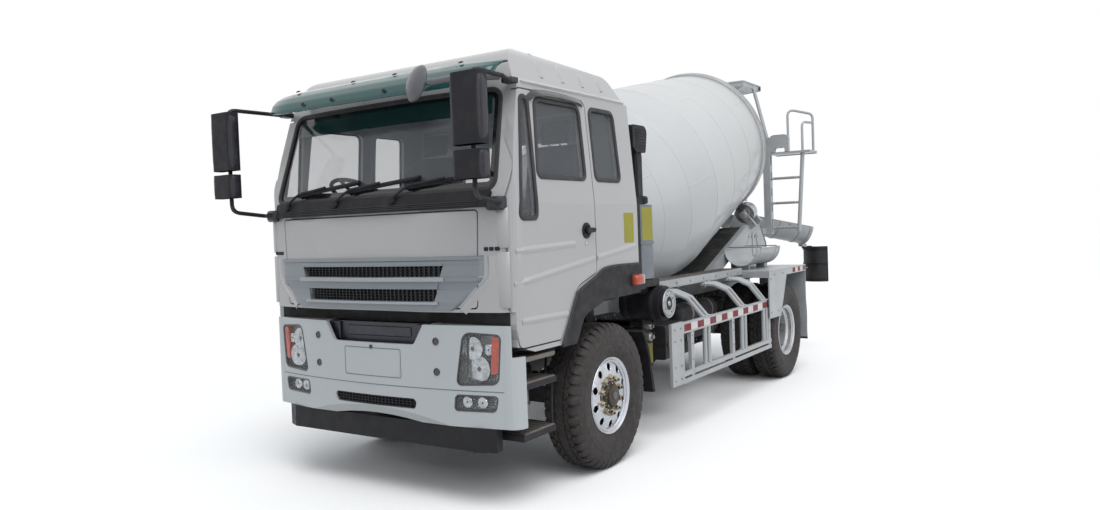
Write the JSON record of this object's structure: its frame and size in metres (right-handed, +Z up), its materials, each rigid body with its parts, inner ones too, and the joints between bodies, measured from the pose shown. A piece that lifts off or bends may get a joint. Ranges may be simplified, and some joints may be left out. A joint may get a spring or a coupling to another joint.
{
  "type": "concrete mixer truck",
  "caption": "Two-axle concrete mixer truck with a forward-control cab, a rear-sloping rotating drum, hopper, discharge chute, side guards and twin rear wheels.",
  "frame": {"origin": "on the ground under the middle of the truck's bounding box", "axes": "+X to the truck's left side, +Y to its rear, +Z up; the truck faces -Y"},
  "size_m": [2.515, 8.0115, 3.5957],
  "materials": {
    "cab_paint": "satin clear-coated paint",
    "bumper_paint": "satin paint",
    "steel_paint": "satin silver-grey paint",
    "drum_paint": "satin paint, dusty",
    "chassis_black": "matt chassis paint",
    "chassis_grey": "matt paint",
    "black_plastic": "grained",
    "teal_plastic": "tinted, glossy",
    "grille_plastic": "satin",
    "interior": "matt",
    "lamp": "clear over chrome",
    "window_glass": "tinted",
    "rim_metal": "polished",
    "tank_metal": "brushed",
    "tyre": "matt, treaded"
  },
  "bodies": {
    "chassis": {"frame_rails": "chassis_black", "front_axle": "chassis_black", "rear_axle": "chassis_black", "engine_block": "chassis_grey", "propshaft": "chassis_black", "bumper": "bumper_paint", "underrun_bar": "chassis_black", "headlamps": "lamp", "steps": "black_plastic", "front_mudguards": "black_plastic", "air_filter": "black_plastic", "intake_duct": "black_plastic", "fuel_tank": "tank_metal", "battery_box": "chassis_black", "mixer_subframe": "steel_paint", "front_pedestal": "steel_paint", "drum_gearbox": "chassis_grey", "rear_pedestal": "steel_paint", "rear_fenders": "steel_paint", "side_guards": "steel_paint", "hopper": "steel_paint", "discharge_funnel": "steel_paint", "ladder": "steel_paint", "rear_lamps": "chassis_black", "spare_trough": "steel_paint", "water_tank": "steel_paint"},
    "cab": {"cab_shell": "cab_paint", "cab_interior": "interior", "cab_glass": "window_glass", "sun_visor": "teal_plastic", "mirrors": "black_plastic", "cowl": "black_plastic", "arch_trims": "black_plastic"},
    "door_left": {"door_left": "cab_paint", "door_glass_left": "window_glass"},
    "door_right": {"door_right": "cab_paint", "door_glass_right": "window_glass"},
    "front_panel": {"front_panel": "cab_paint", "grille": "grille_plastic"},
    "knuckle_left": {"knuckle_left": "chassis_black"},
    "knuckle_right": {"knuckle_right": "chassis_black"},
    "front_wheel_left": {"wheel_front_left": "rim_metal", "tyre_front_left": "tyre"},
    "front_wheel_right": {"wheel_front_right": "rim_metal", "tyre_front_right": "tyre"},
    "rear_wheels_left": {"wheel_rear_left": "rim_metal", "tyres_rear_left": "tyre"},
    "rear_wheels_right": {"wheel_rear_right": "rim_metal", "tyres_rear_right": "tyre"},
    "drum": {"drum_shell": "drum_paint", "drum_blades": "drum_paint"},
    "roller_left": {"roller_left": "rim_metal"},
    "roller_right": {"roller_right": "rim_metal"},
    "chute_bracket": {"chute_bracket": "steel_paint"},
    "chute": {"chute": "steel_paint"},
    "chute_flap": {"chute_flap": "chassis_black"}
  },
  "joints": [
    {"name": "cab_tilt", "type": "hinge", "parent": "chassis", "child": "cab", "pos_m": [0, -3.6, 1.15], "axis": [1, 0, 0], "range_deg": [0, 50]},
    {"name": "door_left_hinge", "type": "hinge", "parent": "cab", "child": "door_left", "pos_m": [1.15, -3.58, 1.6], "axis": [0, 0, -1], "range_deg": [0, 70]},
    {"name": "door_right_hinge", "type": "hinge", "parent": "cab", "child": "door_right", "pos_m": [-1.15, -3.58, 1.6], "axis": [0, 0, 1], "range_deg": [0, 70]},
    {"name": "front_panel_hinge", "type": "hinge", "parent": "cab", "child": "front_panel", "pos_m": [0, -3.69, 1.925], "axis": [-1, 0, 0], "range_deg": [0, 75]},
    {"name": "steer_left", "type": "hinge", "parent": "chassis", "child": "knuckle_left", "pos_m": [0.79, -2.415, 0.535], "axis": [0, 0, 1], "range_deg": [-32, 32]},
    {"name": "steer_right", "type": "hinge", "parent": "chassis", "child": "knuckle_right", "pos_m": [-0.79, -2.415, 0.535], "axis": [0, 0, 1], "range_deg": [-32, 32]},
    {"name": "front_wheel_left_spin", "type": "hinge", "parent": "knuckle_left", "child": "front_wheel_left", "pos_m": [1.02, -2.415, 0.535], "axis": [1, 0, 0], "continuous": true},
    {"name": "front_wheel_right_spin", "type": "hinge", "parent": "knuckle_right", "child": "front_wheel_right", "pos_m": [-1.02, -2.415, 0.535], "axis": [1, 0, 0], "continuous": true},
    {"name": "rear_wheels_left_spin", "type": "hinge", "parent": "chassis", "child": "rear_wheels_left", "pos_m": [0.885, 1.615, 0.535], "axis": [1, 0, 0], "continuous": true},
    {"name": "rear_wheels_right_spin", "type": "hinge", "parent": "chassis", "child": "rear_wheels_right", "pos_m": [-0.885, 1.615, 0.535], "axis": [1, 0, 0], "continuous": true},
    {"name": "drum_spin", "type": "hinge", "parent": "chassis", "child": "drum", "pos_m": [0, 0.005, 2.174], "axis": [0, 0.9588, 0.284], "continuous": true},
    {"name": "roller_left_spin", "type": "hinge", "parent": "chassis", "child": "roller_left", "pos_m": [0.57569, 2.06245, 1.89329], "axis": [0, 0.9588, 0.284], "continuous": true},
    {"name": "roller_right_spin", "type": "hinge", "parent": "chassis", "child": "roller_right", "pos_m": [-0.57569, 2.06245, 1.89329], "axis": [0, 0.9588, 0.284], "continuous": true},
    {"name": "chute_swivel", "type": "hinge", "parent": "chassis", "child": "chute_bracket", "pos_m": [0, 2.915, 1.56], "axis": [0, 0, -1], "range_deg": [-115, 18]},
    {"name": "chute_raise", "type": "hinge", "parent": "chute_bracket", "child": "chute", "pos_m": [0, 2.915, 1.62], "axis": [0.7071, -0.7071, 0], "range_deg": [-12, 8]},
    {"name": "chute_flap_hinge", "type": "hinge", "parent": "chute", "child": "chute_flap", "pos_m": [0.77471, 3.68971, 1.42597], "axis": [0.7071, -0.7071, 0], "range_deg": [0, 78]}
  ],
  "couplings": [
    {"joint": "steer_right", "follows": "steer_left", "ratio": 1},
    {"joint": "roller_left_spin", "follows": "drum_spin", "ratio": -7.575},
    {"joint": "roller_right_spin", "follows": "drum_spin", "ratio": -7.575}
  ]
}
